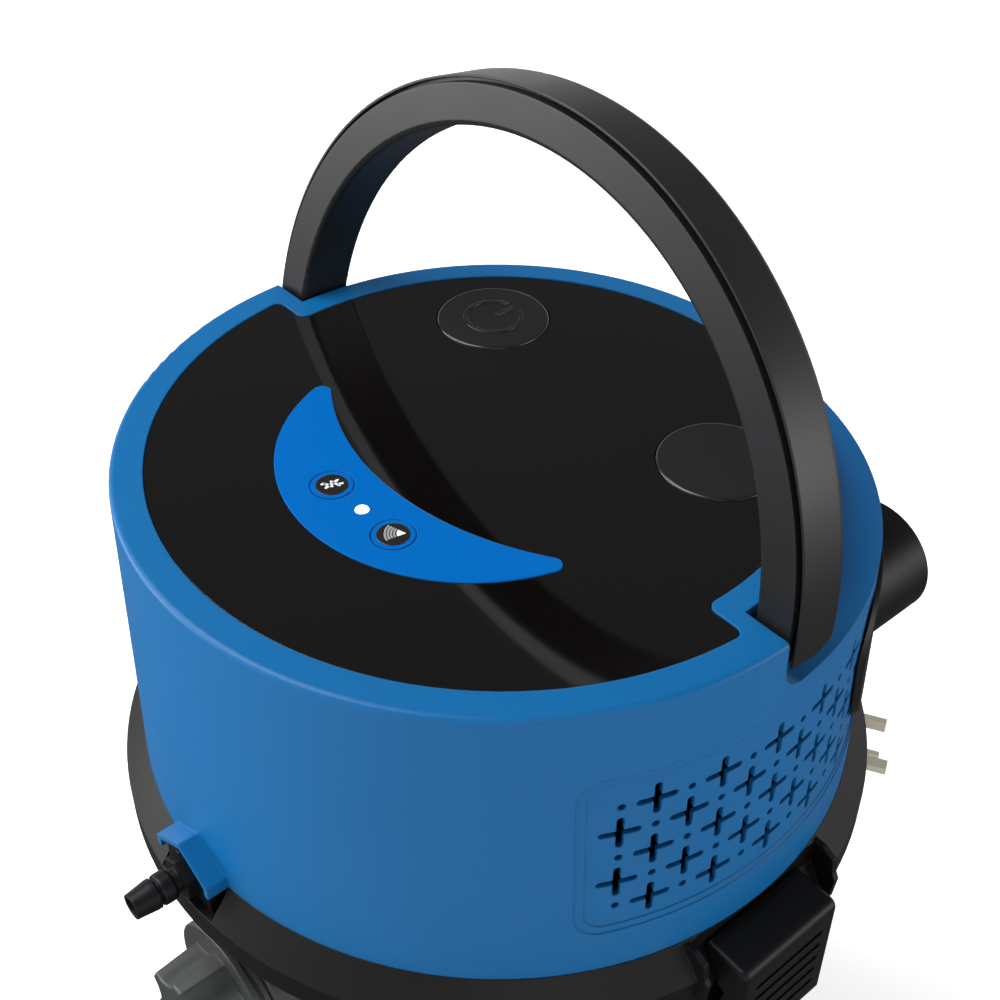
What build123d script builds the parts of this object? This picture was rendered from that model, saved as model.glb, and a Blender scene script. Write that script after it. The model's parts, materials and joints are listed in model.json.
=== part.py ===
from build123d import *
from math import cos, radians, sin, sqrt, tan
import os

os.makedirs("parts", exist_ok=True)

# A round wet and dry shop vacuum. The origin is on the floor under the head's axis, +Z is up,
# and the front, with the inlet and the control crescent, faces -Y. All sizes are millimetres.

# ---- heights above the floor ----
rim_z = 545.0
wall_bottom_z = rim_z - 155.7
ledge_z = rim_z - 27.5
flange_top = rim_z - 172.0
flange_bottom = flange_top - 3.0
skirt_bottom = flange_top - 14.0
panel_top = rim_z - 0.6
panel_bottom = rim_z - 3.2
ceiling_z = rim_z - 6.7
tank_rim = flange_bottom - 1.0
tank_bottom = 66.0
base_bottom = 58.0

# ---- head ----
head_top_r = 175.0
head_bottom_r = 180.0
draft = (head_bottom_r - head_top_r) / (rim_z - wall_bottom_z)
wall = 3.5
block_r = 151.5
step_y = -3.3
panel_front_r = 159.7
panel_back_r = 138.9
panel_step_y = -12.5
collar_r = 191.5
collar_neck_r = 178.5

# ---- controls ----
button_x = 77.5
button_y = 61.9
button_r = 28.5
button_travel = 2.5
key_x = 21.8
key_mid_x = 1.8
key_y = -80.2
key_r = 9.4

well_floor = rim_z - 14.0
stem_r = 6.0
board_top = rim_z - 16.4
screw_ring_r = 138.0
hood_front = 189.5

# ---- handle: half a ring that leans back, on two pins ----
ring_z = rim_z - 17.8
ring_outer = 176.4
ring_inner = 155.0
ring_face = 173.3
lean = 8.5
handle_front = -3.4
handle_back = 24.7
foot_end = 3.5
pivot_y = 9.4
pivot_z = rim_z - 10.0
pivot_r = 3.2

# ---- latches ----
latch_half = 31.5
latch_face = 202.0
latch_pivot_x = 190.0
latch_pivot_z = rim_z - 230.0
latch_top = rim_z - 165.0
latch_pin_r = 3.0
catch_in_r = 176.6
catch_in_z = rim_z - 169.6
catch_slope = 60
catch_gap = 0.6

# ---- tank, inlet and castors ----
tank_top_r = 156.0
tank_bottom_r = 150.0
tank_rim_r = 160.0
inlet_z = rim_z - 262.0
inlet_bore = 24.0
inlet_plate_front = -171.0
inlet_plate_r = 42.0
cap_front = -180.0
knob_front = -205.0
castor_r = 183.0
castor_trail = 16.0
wheel_r = 24.0
wheel_width = 18.0
castor_angles = {"right": 0, "rear": 90, "left": 180, "front": 270}

# ---- exhaust outlet and hose tail ----
outlet_x = 107.1
outlet_z = rim_z - 92.1
outlet_r = 30.7
outlet_bore = 27.5
outlet_end = 162.0
tail_z = rim_z - 158.5
tail_tube_r = 6.8
tail_end = 216.5

# ---- mains lead ----
cord_d = 7.0
coil_x = -7.0
coil_y = 185.0
coil_z = 291.0
coil_mid_r = 42.0
coil_half = 17.8
gland_x = coil_x - coil_mid_r - 14.2
relief_top = 405.0
relief_end = 377.0
plug_at = (117.3, 155.9, 329.6)
plug_yaw = 29.0
plug_roll = 78.0


def wall_r(z):
    """Outer radius of the head's drafted wall at height z."""
    return head_top_r + (rim_z - z) * draft


def panel_outline(gap):
    """Half disc of the wide front joined to the narrower round back, grown by gap."""
    with BuildSketch() as outline:
        with BuildSketch(mode=Mode.PRIVATE) as front:
            Circle(panel_front_r + gap)
            with Locations((0, panel_step_y + gap)):
                Rectangle(400, 400, align=(Align.CENTER, Align.MIN), mode=Mode.SUBTRACT)
        Circle(panel_back_r + gap)
        add(front.sketch)
        steps = outline.vertices().filter_by(lambda v: abs(v.X) > 100)
        fillet(steps, 4.5)
    return outline.sketch


def crescent_outline(gap):
    """The control crescent between a small and a large circle, its two tips rounded."""
    with BuildSketch() as outline:
        with Locations((0, -16.3)):
            Circle(89.2 + gap)
        with Locations((0, 79.6)):
            Circle(141.6 - gap, mode=Mode.SUBTRACT)
        fillet(outline.vertices(), 4.5 + gap)
    return outline.sketch


def house(half, eaves, apex, bottom):
    """A pointed roof profile over two upright sides, drawn in the XZ plane."""
    with BuildSketch(Plane.XZ) as profile:
        Polygon(
            (-half, bottom), (half, bottom), (half, eaves), (0, apex), (-half, eaves),
            align=None,
        )
    return profile.sketch


# =====================================================================================
# Head
# =====================================================================================

# The half ring of space that the folded handle lies in, rounded where it meets the step.
with BuildPart() as handle_space:
    with BuildSketch(Plane.XY.offset(ledge_z)):
        Circle(200)
        Circle(block_r, mode=Mode.SUBTRACT)
        with Locations((0, step_y)):
            Rectangle(420, 420, align=(Align.CENTER, Align.MAX), mode=Mode.SUBTRACT)
    extrude(amount=40)
    fillet(handle_space.edges().filter_by(Axis.X).group_by(Axis.Z)[0], 12.5)

# The hollow inside the head.
with BuildPart() as head_hollow:
    with BuildSketch(Plane.XZ):
        Polygon(
            (0, wall_bottom_z - 1),
            (wall_r(wall_bottom_z - 1) - wall, wall_bottom_z - 1),
            (wall_r(ledge_z - wall) - wall, ledge_z - wall),
            (0, ledge_z - wall),
            align=None,
        )
    revolve(axis=Axis.Z)
    with BuildSketch(Plane.XY.offset(ledge_z - wall)):
        Circle(head_top_r - wall)
        with Locations((0, step_y - wall)):
            Rectangle(400, 400, align=(Align.CENTER, Align.MIN), mode=Mode.SUBTRACT)
        Circle(block_r - wall)
    extrude(amount=ceiling_z - ledge_z + wall)

# Shallow panel on each side wall that carries the vent pattern.
vent_columns = 11
vent_rows = 5
vent_pitch = 15.1
vent_turn = 5.04
vent_top_z = rim_z - 55.5
vent_recess = 0.5
vent_steps = []
for depth, width, height, corner in ((vent_recess, 184, 95, 12), (2 * vent_recess, 176, 87, 8.5)):
    with BuildPart() as vent_step:
        with BuildSketch(Plane.XZ):
            Polygon(
                (wall_r(wall_bottom_z) - depth, wall_bottom_z), (200, wall_bottom_z),
                (200, rim_z), (wall_r(rim_z) - depth, rim_z), align=None,
            )
        revolve(axis=Axis.Z)
        with BuildSketch(Plane.YZ):
            with Locations((0, rim_z - 84.5)):
                RectangleRounded(width, height, corner)
        extrude(amount=220, both=True, mode=Mode.INTERSECT)
    vent_steps.append(vent_step.part)

# A cross and a dot of the vent pattern, cut along +X.
with BuildPart() as vent_cross:
    with BuildSketch(Plane.YZ.offset(160)):
        SlotOverall(18.4, 3.2)
        SlotOverall(17.8, 3.4, rotation=90)
    extrude(amount=30)
with BuildPart() as vent_dot:
    with BuildSketch(Plane.YZ.offset(160)):
        Circle(1.8)
    extrude(amount=30)

cross_places = []
dot_places = []
for side in (0, 180):
    for column in range(vent_columns):
        turn = side + (column - (vent_columns - 1) / 2) * vent_turn
        for row in range(vent_rows):
            place = Location((0, 0, vent_top_z - row * vent_pitch), (0, 0, turn))
            if (column + row) % 2:
                cross_places.append(place)
            else:
                dot_places.append(place)

with BuildPart() as head_shell:
    with BuildSketch(Plane.XZ):
        Polygon(
            (0, rim_z), (head_top_r, rim_z), (head_bottom_r, wall_bottom_z), (0, wall_bottom_z),
            align=None,
        )
    revolve(axis=Axis.Z)
    fillet(head_shell.edges().group_by(Axis.Z)[-1], 2.5)
    add(handle_space.part, mode=Mode.SUBTRACT)
    # pointed hood over the hose tail
    with BuildSketch(Plane.XZ.offset(170)):
        add(house(21, rim_z - 149, rim_z - 136.7, wall_bottom_z))
    extrude(amount=hood_front - 170)
    hood_edges = head_shell.edges().filter_by(
        lambda e: abs(e.center().X) < 22 and e.center().Y < -181 and e.center().Z > wall_bottom_z + 1)
    fillet(hood_edges.filter_by(Axis.Y), 1.2)
    add(head_hollow.part, mode=Mode.SUBTRACT)
    with BuildSketch(Plane.XZ.offset(180.2)):
        add(house(18.2, rim_z - 150.6, rim_z - 140.0, wall_bottom_z - 1))
    extrude(amount=12, mode=Mode.SUBTRACT)
    # seat of the top panel
    with BuildSketch(Plane.XY.offset(panel_bottom)):
        add(panel_outline(0.4))
    extrude(amount=10, mode=Mode.SUBTRACT)
    # wells under the two round buttons
    with BuildSketch(Plane.XY.offset(well_floor - 3)):
        with Locations((-button_x, button_y), (button_x, button_y)):
            Circle(32)
    extrude(amount=ceiling_z - well_floor + 3)
    with BuildSketch(Plane.XY.offset(well_floor)):
        with Locations((-button_x, button_y), (button_x, button_y)):
            Circle(29.3)
    extrude(amount=20, mode=Mode.SUBTRACT)
    with BuildSketch(Plane.XY.offset(well_floor - 4)):
        with Locations((-button_x, button_y), (button_x, button_y)):
            Circle(stem_r + 0.05)
    extrude(amount=5, mode=Mode.SUBTRACT)
    # cheeks that hold a switch under each well
    with BuildSketch(Plane.XY.offset(well_floor - 22)):
        for middle in (-button_x, button_x):
            with Locations((middle - 13.5, button_y), (middle + 13.5, button_y)):
                Rectangle(3, 14)
    extrude(amount=19.5)
    # key and lamp holes
    with BuildSketch(Plane.XY.offset(ceiling_z - 1)):
        with Locations((key_mid_x - key_x, key_y), (key_mid_x + key_x, key_y)):
            Circle(key_r + 0.4)
        with Locations((key_mid_x, key_y)):
            Circle(3.6)
    extrude(amount=8, mode=Mode.SUBTRACT)
    # posts for the circuit board
    with BuildSketch(Plane.XY.offset(board_top)):
        with Locations((key_mid_x - 46, key_y + 20), (key_mid_x + 46, key_y + 20)):
            Circle(3.5)
    extrude(amount=ceiling_z - board_top + 0.5)
    # long screw posts down to the motor plate
    with BuildSketch(Plane.XY.offset(flange_top + 4)):
        with PolarLocations(screw_ring_r, 6, start_angle=30):
            Circle(6)
            Circle(1.9, mode=Mode.SUBTRACT)
    extrude(amount=ceiling_z - flange_top - 3.5)
    # bosses and bores for the handle's pins
    for side in (-1, 1):
        with BuildSketch(Plane.YZ.offset(side * 138)):
            with Locations((pivot_y, pivot_z)):
                Circle(6.4)
        extrude(amount=side * 11)
        with BuildSketch(Plane.YZ.offset(side * 137)):
            with Locations((pivot_y, pivot_z)):
                Circle(pivot_r + 0.05)
        extrude(amount=side * 17, mode=Mode.SUBTRACT)
    # vents, exhaust opening and the hole behind the hose tail
    add(vent_steps, mode=Mode.SUBTRACT)
    with Locations(cross_places):
        add(vent_cross.part, mode=Mode.SUBTRACT)
    with Locations(dot_places):
        add(vent_dot.part, mode=Mode.SUBTRACT)
    with BuildSketch(Plane.XZ.offset(-95)):
        with Locations((outlet_x, outlet_z)):
            Circle(outlet_r)
    extrude(amount=-90, mode=Mode.SUBTRACT)
    with BuildSketch(Plane.XZ.offset(170)):
        with Locations((0, tail_z)):
            Circle(tail_tube_r)
    extrude(amount=12, mode=Mode.SUBTRACT)
head_shell.part.label = "head_shell"
export_step(head_shell.part, "parts/head_shell.step")

# Black collar under the head: a hollow sloping shoulder, a skirt and a flange.
with BuildPart() as collar_hollow:
    with BuildSketch(Plane.XZ):
        Polygon(
            (176.3, flange_bottom - 1), (188.3, flange_bottom - 1), (188.3, flange_bottom + 1.5),
            (179.3, wall_bottom_z - 4), (176.3, wall_bottom_z - 4),
            align=None,
        )
    revolve(axis=Axis.Z)
    # the floor and cheeks of the hose tail's pocket stay solid
    with BuildSketch(Plane.XY.offset(flange_bottom)):
        with Locations((0, -175)):
            Rectangle(48, 20, align=(Align.CENTER, Align.MAX))
    extrude(amount=20, mode=Mode.SUBTRACT)

with BuildPart() as head_collar:
    with BuildSketch(Plane.XZ):
        Polygon(
            (128, flange_bottom), (188.4, flange_bottom), (188.4, skirt_bottom),
            (collar_r, skirt_bottom), (collar_r, flange_top - 0.5),
            (180.2, wall_bottom_z), (176.2, wall_bottom_z), (176.2, wall_bottom_z + 3),
            (173.4, wall_bottom_z + 3), (173.4, flange_top), (128, flange_top),
            align=None,
        )
    revolve(axis=Axis.Z)
    add(collar_hollow.part, mode=Mode.SUBTRACT)
    # solid block with a sloping catch face in the middle of each side
    for side in (-1, 1):
        with BuildSketch(Plane.XZ.offset(-45)) as catch_block:
            Polygon(
                (side * 173.4, flange_bottom), (side * 173.4, wall_bottom_z - 0.8),
                (side * 181.5, wall_bottom_z - 0.8), (side * 188.0, wall_bottom_z - 4.5),
                (side * 189.5, flange_top + 3.5), (side * 191.4, flange_top),
                (side * 190.0, skirt_bottom), (side * 176, skirt_bottom),
                align=None,
            )
        extrude(amount=90)
        drop = (catch_in_z - skirt_bottom + 6) / tan(radians(catch_slope))
        with BuildSketch(Plane.XZ.offset(-42)) as pocket:
            Polygon(
                (side * catch_in_r, 400), (side * catch_in_r, catch_in_z),
                (side * (catch_in_r + drop), skirt_bottom - 6),
                (side * 215, skirt_bottom - 6), (side * 215, 400),
                align=None,
            )
        extrude(amount=84, mode=Mode.SUBTRACT)
    # flat pocket and hole for the hose tail
    with BuildSketch(Plane.XY.offset(flange_top)):
        with Locations((0, -176.4)):
            Rectangle(42, 30, align=(Align.CENTER, Align.MAX))
    extrude(amount=40, mode=Mode.SUBTRACT)
    with BuildSketch(Plane.XZ.offset(170)):
        with Locations((0, tail_z)):
            Circle(tail_tube_r)
    extrude(amount=12, mode=Mode.SUBTRACT)
    # holes for the head's screws
    with BuildSketch(Plane.XY.offset(flange_bottom - 1)):
        with PolarLocations(screw_ring_r, 6, start_angle=30):
            Circle(2.2)
    extrude(amount=6, mode=Mode.SUBTRACT)
head_collar.part.label = "head_collar"
export_step(head_collar.part, "parts/head_collar.step")

# Glossy top panel, let into the rim.
with BuildPart() as top_panel:
    with BuildSketch(Plane.XY.offset(panel_bottom)):
        add(panel_outline(0))
        with Locations((-button_x, button_y), (button_x, button_y)):
            Circle(button_r + 0.4, mode=Mode.SUBTRACT)
        add(crescent_outline(0.15), mode=Mode.SUBTRACT)
    extrude(amount=panel_top - panel_bottom)
top_panel.part.label = "top_panel"
export_step(top_panel.part, "parts/top_panel.step")

# Crescent with the mode keys and the status lamp.
with BuildPart() as crescent_panel:
    with BuildSketch(Plane.XY.offset(panel_bottom)):
        add(crescent_outline(0))
        with Locations((key_mid_x - key_x, key_y), (key_mid_x + key_x, key_y)):
            Circle(key_r + 0.4, mode=Mode.SUBTRACT)
        with Locations((key_mid_x, key_y)):
            Circle(3.4, mode=Mode.SUBTRACT)
    extrude(amount=panel_top - panel_bottom + 0.5)
    fillet(crescent_panel.edges().group_by(Axis.Z)[-1].sort_by(Edge.length)[-4:], 0.4)
crescent_panel.part.label = "crescent_panel"
export_step(crescent_panel.part, "parts/crescent_panel.step")

# Mode keys: a cap with a grooved ring, a retaining flange and a stem.
key_names = {"mode_key_left": key_mid_x - key_x, "mode_key_right": key_mid_x + key_x}
for name, x in key_names.items():
    with BuildPart() as mode_key:
        with BuildSketch(Plane.XY.offset(ceiling_z - 1.6)):
            with Locations((x, key_y)):
                Circle(key_r + 1.6)
        extrude(amount=1.2)
        with BuildSketch(Plane.XY.offset(ceiling_z - 1.6)):
            with Locations((x, key_y)):
                Circle(key_r)
        extrude(amount=panel_top + 0.5 - ceiling_z + 1.6)
        with BuildSketch(Plane.XY.offset(board_top + 5.3)):
            with Locations((x, key_y)):
                Circle(2)
        extrude(amount=ceiling_z - board_top - 6.5)
    mode_key.part.label = name
    export_step(mode_key.part, f"parts/{name}.step")

# Status lamp lens on its light pipe.
with BuildPart() as status_led:
    with BuildSketch(Plane.XY.offset(board_top + 2)):
        with Locations((key_mid_x, key_y)):
            Circle(3.2)
    extrude(amount=panel_top + 0.8 - board_top - 2)
    fillet(status_led.edges().group_by(Axis.Z)[-1], 0.8)
status_led.part.label = "status_led"
export_step(status_led.part, "parts/status_led.step")

# Round buttons: power with a raised ring and bar, filter cleaning plain.
button_top = rim_z + 0.3
for name, x, marked in (("power_button", -button_x, True), ("filter_clean_button", button_x, False)):
    with BuildPart() as button:
        with BuildSketch(Plane.XY.offset(button_top - 9)):
            with Locations((x, button_y)):
                Circle(button_r)
        extrude(amount=9)
        fillet(button.edges().group_by(Axis.Z)[-1], 1.6)
        with BuildSketch(Plane.XY.offset(button_top - 9)):
            with Locations((x, button_y)):
                Circle(button_r - 2.5)
        extrude(amount=6, mode=Mode.SUBTRACT)
        with BuildSketch(Plane.XY.offset(well_floor - 9.5)):
            with Locations((x, button_y)):
                Circle(stem_r)
        extrude(amount=button_top - 3 - well_floor + 9.5)
        with BuildSketch(Plane.XY.offset(well_floor - 7)):
            with Locations((x, button_y)):
                Circle(7.6)
        extrude(amount=3.4)
        if marked:
            with BuildSketch(Plane.XY.offset(button_top)):
                with Locations((x, button_y)):
                    Circle(15.1)
                    Circle(13.3, mode=Mode.SUBTRACT)
                with Locations((x, button_y + 14)):
                    Rectangle(9, 9, mode=Mode.SUBTRACT)
                with Locations((x, button_y + 7.5)):
                    SlotOverall(12.1, 1.9, rotation=90)
            extrude(amount=0.5)
    button.part.label = name
    export_step(button.part, f"parts/{name}.step")

# Return springs inside the wells.
for name, x in (("power_spring", -button_x), ("clean_spring", button_x)):
    with BuildPart() as spring:
        with BuildLine() as turns:
            Helix(pitch=3.1, height=9.3, radius=10.5, center=(x, button_y, well_floor + 0.9))
        with BuildSketch(Plane(origin=turns.line @ 0, z_dir=turns.line % 0)):
            Circle(0.8)
        sweep()
    spring.part.label = name
    export_step(spring.part, f"parts/{name}.step")

# Snap switches under the wells, between the cheeks.
for name, x in (("power_switch", -button_x), ("clean_switch", button_x)):
    with BuildPart() as snap_switch:
        with BuildSketch(Plane.XY.offset(well_floor - 27)):
            with Locations((x, button_y)):
                Rectangle(24, 12)
        extrude(amount=13)
        fillet(snap_switch.edges().filter_by(Axis.Z), 1)
        with BuildSketch(Plane.XY.offset(well_floor - 14)):
            with Locations((x, button_y)):
                Circle(2.4)
        extrude(amount=1.8)
        with BuildSketch(Plane.XY.offset(well_floor - 32)):
            with Locations((x - 8, button_y), (x, button_y), (x + 8, button_y)):
                Rectangle(4.8, 0.8)
        extrude(amount=5)
    snap_switch.part.label = name
    export_step(snap_switch.part, f"parts/{name}.step")

# Circuit board with its key switches and lamp.
with BuildPart() as circuit_board:
    with BuildSketch(Plane.XY.offset(board_top - 1.6)):
        with Locations((key_mid_x, key_y + 10)):
            RectangleRounded(104, 36, 3)
    extrude(amount=1.6)
    with BuildSketch(Plane.XY.offset(board_top)):
        with Locations((key_mid_x - key_x, key_y), (key_mid_x + key_x, key_y)):
            Rectangle(6, 6)
    extrude(amount=4)
    with BuildSketch(Plane.XY.offset(board_top)):
        with Locations((key_mid_x, key_y)):
            Circle(2.5)
    extrude(amount=2)
    with BuildSketch(Plane.XY.offset(board_top - 1.6)):
        with Locations((key_mid_x - 20, key_y + 14), (key_mid_x + 24, key_y + 12)):
            Rectangle(16, 12)
        with Locations((key_mid_x, key_y + 14)):
            Circle(5)
    extrude(amount=-8)
circuit_board.part.label = "circuit_board"
export_step(circuit_board.part, "parts/circuit_board.step")

# =====================================================================================
# Handle
# =====================================================================================
lean_back = Vector(0, cos(radians(lean)), -sin(radians(lean)))
handle_plane = Plane(origin=(0, 0, ring_z), x_dir=(-1, 0, 0), z_dir=lean_back)
foot_r = 16.5
foot_n = 8.0
foot_v = foot_end + foot_r
with BuildPart() as handle:
    with BuildSketch(handle_plane.offset(handle_front)):
        Circle(ring_outer)
        Circle(ring_inner, mode=Mode.SUBTRACT)
        with Locations((0, foot_end)):
            Rectangle(400, 400, align=(Align.CENTER, Align.MAX), mode=Mode.SUBTRACT)
    extrude(amount=handle_back - handle_front)
    # stepped-back outer band with a narrow groove beside it
    with BuildSketch(handle_plane.offset(handle_front)):
        Circle(ring_outer + 1)
        Circle(ring_face, mode=Mode.SUBTRACT)
    extrude(amount=1.6, mode=Mode.SUBTRACT)
    with BuildSketch(handle_plane.offset(handle_front)):
        Circle(ring_face + 1.9)
        Circle(ring_face, mode=Mode.SUBTRACT)
    extrude(amount=5, mode=Mode.SUBTRACT)
    fillet(handle.edges().filter_by(GeomType.CIRCLE).filter_by(
        lambda e: e.radius > ring_outer - 0.1).sort_by(Axis.Y)[-1], 4)
    fillet(handle.edges().filter_by(GeomType.CIRCLE).filter_by(
        lambda e: e.radius < ring_inner + 0.1), 2.5)
    # rounded lower ends of the legs
    side_plane = Plane(origin=(0, 0, ring_z), x_dir=lean_back, z_dir=(1, 0, 0))
    with BuildSketch(side_plane.offset(-200)) as foot_cut:
        with Locations((handle_front - 5, foot_end - 5)):
            Rectangle(60, foot_r + 5, align=(Align.MIN, Align.MIN))
        with Locations((foot_n, foot_v)):
            Circle(foot_r, mode=Mode.SUBTRACT)
        with Locations((handle_front - 5, foot_end - 5)):
            Rectangle(foot_n - handle_front + 5, 60, align=(Align.MIN, Align.MIN), mode=Mode.SUBTRACT)
        with Locations((handle_front, foot_end)):
            Rectangle(1.9, 1.9, rotation=45)
    extrude(amount=400, mode=Mode.SUBTRACT)
    # bores that the pivot pins are pressed into
    with BuildSketch(Plane.YZ.offset(-169)):
        with Locations((pivot_y, pivot_z)):
            Circle(pivot_r)
    extrude(amount=338, mode=Mode.SUBTRACT)
handle.part.label = "handle"
export_step(handle.part, "parts/handle.step")

with BuildPart() as handle_pins:
    for side in (-1, 1):
        with BuildSketch(Plane.YZ.offset(side * 139.5)):
            with Locations((pivot_y, pivot_z)):
                Circle(pivot_r)
        extrude(amount=side * 29)
handle_pins.part.label = "handle_pins"
export_step(handle_pins.part, "parts/handle_pins.step")

# =====================================================================================
# Exhaust outlet and hose tail
# =====================================================================================
with BuildPart() as outlet_stub:
    with BuildSketch(Plane.XZ.offset(-98)):
        with Locations((outlet_x, outlet_z)):
            Circle(outlet_r)
            Circle(outlet_bore, mode=Mode.SUBTRACT)
    extrude(amount=98 - outlet_end)
    fillet(outlet_stub.edges().group_by(Axis.Y)[-1], 1.0)
outlet_stub.part.label = "outlet_stub"
export_step(outlet_stub.part, "parts/outlet_stub.step")

# Thin flange that follows the wall round the outlet.
with BuildPart() as outlet_flange:
    with BuildSketch(Plane.XZ):
        Polygon(
            (wall_r(wall_bottom_z), wall_bottom_z), (wall_r(wall_bottom_z) + 2.5, wall_bottom_z),
            (wall_r(ledge_z) + 2.5, ledge_z), (wall_r(ledge_z), ledge_z),
            align=None,
        )
    revolve(axis=Axis.Z)
    with BuildSketch(Plane.XZ.offset(-60)):
        with Locations((outlet_x + 4, outlet_z + 6)):
            RectangleRounded(104, 84, 30)
        with Locations((outlet_x, outlet_z)):
            Circle(outlet_r + 0.05, mode=Mode.SUBTRACT)
    extrude(amount=-140, mode=Mode.INTERSECT)
outlet_flange.part.label = "outlet_flange"
export_step(outlet_flange.part, "parts/outlet_flange.step")

# Ridged tail for a small hose, with a hexagon, a plate and a tube into the head.
with BuildPart() as hose_tail:
    with BuildSketch(Plane.XY):
        Polygon(
            (0, -171), (6.7, -171), (6.7, -187), (6, -187), (6, -196), (7.4, -196.5),
            (7.75, -197.5), (7.75, -202), (7.4, -203), (6, -203), (6, -204), (7.5, -204.6),
            (7.5, -206.5), (6.25, -tail_end), (0, -tail_end),
            align=None,
        )
    revolve(axis=Axis.Y)
    with BuildSketch(Plane.XZ.offset(187)):
        RegularPolygon(9.5, 6, major_radius=False, rotation=30)
    extrude(amount=6)
    with BuildSketch(Plane.XZ.offset(183)):
        with Locations((0, -2.5)):
            Rectangle(34, 20)
    extrude(amount=4)
    with BuildSketch(Plane.XZ.offset(170)):
        Circle(4.5)
    extrude(amount=60, mode=Mode.SUBTRACT)
hose_tail_placed = hose_tail.part.moved(Location((0, 0, tail_z)))
hose_tail_placed.label = "hose_tail"
export_step(hose_tail_placed, "parts/hose_tail.step")

# =====================================================================================
# Motor and fan
# =====================================================================================
housing_r = 70.0
plate_top = flange_top + 4
fan_z = plate_top + 7
partition_z = plate_top + 28
stator_z = partition_z + 12
housing_top = plate_top + 112
seat_r = 18.0

with BuildPart() as motor_plate:
    with BuildSketch(Plane.XY.offset(flange_top)):
        Circle(172)
        Circle(seat_r, mode=Mode.SUBTRACT)
        with PolarLocations(screw_ring_r, 6, start_angle=30):
            Circle(2.2, mode=Mode.SUBTRACT)
    extrude(amount=4)
    with BuildSketch(Plane.XY.offset(flange_top - 8)):
        Circle(48)
        Circle(45, mode=Mode.SUBTRACT)
    extrude(amount=8)
    with BuildSketch(Plane.XY.offset(plate_top)):
        Circle(75)
        Circle(housing_r + 0.1, mode=Mode.SUBTRACT)
    extrude(amount=5)
motor_plate.part.label = "motor_plate"
export_step(motor_plate.part, "parts/motor_plate.step")

with BuildPart() as motor_housing:
    with BuildSketch(Plane.XY.offset(plate_top)):
        Circle(housing_r)
        Circle(housing_r - 2.5, mode=Mode.SUBTRACT)
    extrude(amount=housing_top - plate_top)
    with BuildSketch(Plane.XY.offset(partition_z)):
        Circle(housing_r - 1)
        Circle(9, mode=Mode.SUBTRACT)
    extrude(amount=6)
    with BuildSketch(Plane.XY.offset(housing_top - 8)):
        Circle(housing_r - 1)
        Circle(9, mode=Mode.SUBTRACT)
        with PolarLocations(38, 8):
            SlotOverall(44, 12, mode=Mode.SUBTRACT)
    extrude(amount=8)
    with BuildSketch(Plane.YZ.offset(-90)):
        with Locations((0, plate_top + 16)):
            SlotOverall(60, 18)
        with Locations((0, stator_z + 54)):
            SlotOverall(50, 10)
    extrude(amount=180, mode=Mode.SUBTRACT)
    with BuildSketch(Plane.XZ.offset(-90)):
        with Locations((0, plate_top + 16)):
            SlotOverall(60, 18)
    extrude(amount=180, mode=Mode.SUBTRACT)
motor_housing.part.label = "motor_housing"
export_step(motor_housing.part, "parts/motor_housing.step")

with BuildPart() as bearings:
    for height in (partition_z, housing_top - 8):
        with BuildSketch(Plane.XY.offset(height)):
            Circle(9)
            Circle(4.05, mode=Mode.SUBTRACT)
        extrude(amount=6)
bearings.part.label = "bearings"
export_step(bearings.part, "parts/bearings.step")

with BuildPart() as stator:
    with BuildSketch(Plane.XY.offset(stator_z)):
        Circle(housing_r - 2.5)
        with PolarLocations(48, 4, start_angle=45):
            SlotOverall(24, 12, rotation=90, mode=Mode.SUBTRACT)
        Circle(31, mode=Mode.SUBTRACT)
    extrude(amount=44)
stator.part.label = "stator"
export_step(stator.part, "parts/stator.step")

with BuildPart() as rotor:
    with BuildSketch(Plane.XY.offset(fan_z - 3)):
        Circle(4)
    extrude(amount=housing_top - fan_z + 1)
    with BuildSketch(Plane.XY.offset(stator_z)):
        Circle(30)
        with PolarLocations(30, 12):
            Rectangle(10, 3, mode=Mode.SUBTRACT)
    extrude(amount=44)
    with BuildSketch(Plane.XY.offset(stator_z + 46)):
        Circle(13)
    extrude(amount=18)
rotor.part.label = "rotor"
export_step(rotor.part, "parts/rotor.step")

with BuildPart() as impeller:
    with BuildSketch(Plane.XY.offset(fan_z)):
        Circle(60)
        Circle(4, mode=Mode.SUBTRACT)
    extrude(amount=2)
    with BuildSketch(Plane.XY.offset(fan_z + 2)):
        Circle(9)
        Circle(4, mode=Mode.SUBTRACT)
    extrude(amount=14)
    with BuildSketch(Plane.XY.offset(fan_z + 2)):
        with PolarLocations(34, 9):
            Rectangle(48, 1.6, rotation=28)
    extrude(amount=12)
impeller.part.label = "impeller"
export_step(impeller.part, "parts/impeller.step")

with BuildPart() as exhaust_foam:
    with BuildSketch(Plane.XY.offset(plate_top + 5.5)):
        Circle(96)
        Circle(housing_r + 0.3, mode=Mode.SUBTRACT)
    extrude(amount=52)
exhaust_foam.part.label = "exhaust_foam"
export_step(exhaust_foam.part, "parts/exhaust_foam.step")

with BuildPart() as head_screws:
    with BuildSketch(Plane.XY.offset(flange_bottom - 2.5)):
        with PolarLocations(screw_ring_r, 6, start_angle=30):
            Circle(4)
    extrude(amount=2.5)
    with BuildSketch(Plane.XY.offset(flange_bottom)):
        with PolarLocations(screw_ring_r, 6, start_angle=30):
            Circle(1.9)
    extrude(amount=22)
head_screws.part.label = "head_screws"
export_step(head_screws.part, "parts/head_screws.step")

with BuildPart() as head_gasket:
    with BuildSketch(Plane.XY.offset(flange_bottom - 0.7)):
        Circle(tank_rim_r - 1)
        Circle(tank_rim_r - 7, mode=Mode.SUBTRACT)
    extrude(amount=0.7)
head_gasket.part.label = "head_gasket"
export_step(head_gasket.part, "parts/head_gasket.step")

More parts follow.
